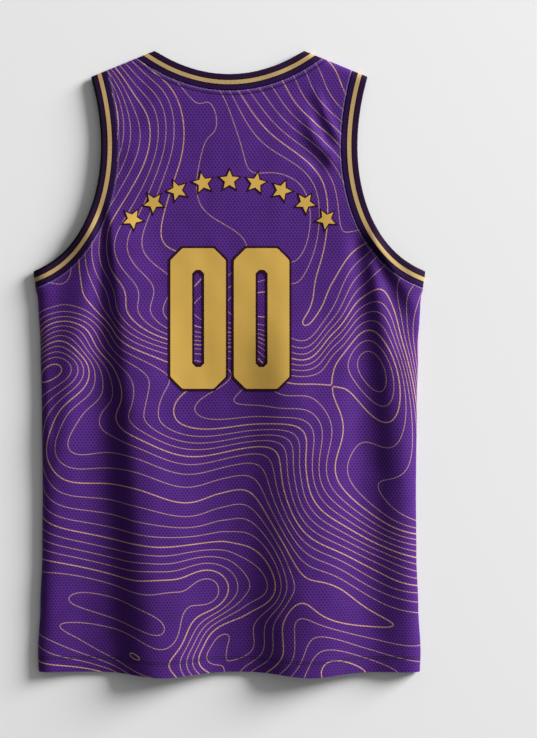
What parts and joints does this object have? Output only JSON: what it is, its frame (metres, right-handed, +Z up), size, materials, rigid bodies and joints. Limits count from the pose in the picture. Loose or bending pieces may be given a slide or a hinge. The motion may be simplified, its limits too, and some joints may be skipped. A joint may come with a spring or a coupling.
{
  "type": "basketball jersey",
  "caption": "Sleeveless basketball jersey with ribbed neck and armhole bands, laid flat on its front with soft lengthwise folds in the back.",
  "frame": {"origin": "on the surface it lies on, under the middle of the jersey", "axes": "+Y from the hem to the neck, +X across the chest to the right as seen from above, +Z up; the back is uppermost"},
  "size_m": [0.49, 0.7812, 0.0268],
  "materials": {
    "mesh_jersey": "soft polyester eyelet mesh, printed with gold contour lines",
    "band_rib": "flat rib knit, dark purple with one gold stripe",
    "number_twill": "gold tackle twill with a dark outline, pressed on",
    "sewing_thread": "dark purple polyester thread"
  },
  "bodies": {
    "root": {"back_panel": "mesh_jersey", "front_panel": "mesh_jersey", "neck_band": "band_rib", "armhole_band_left": "band_rib", "armhole_band_right": "band_rib"}
  },
  "joints": []
}
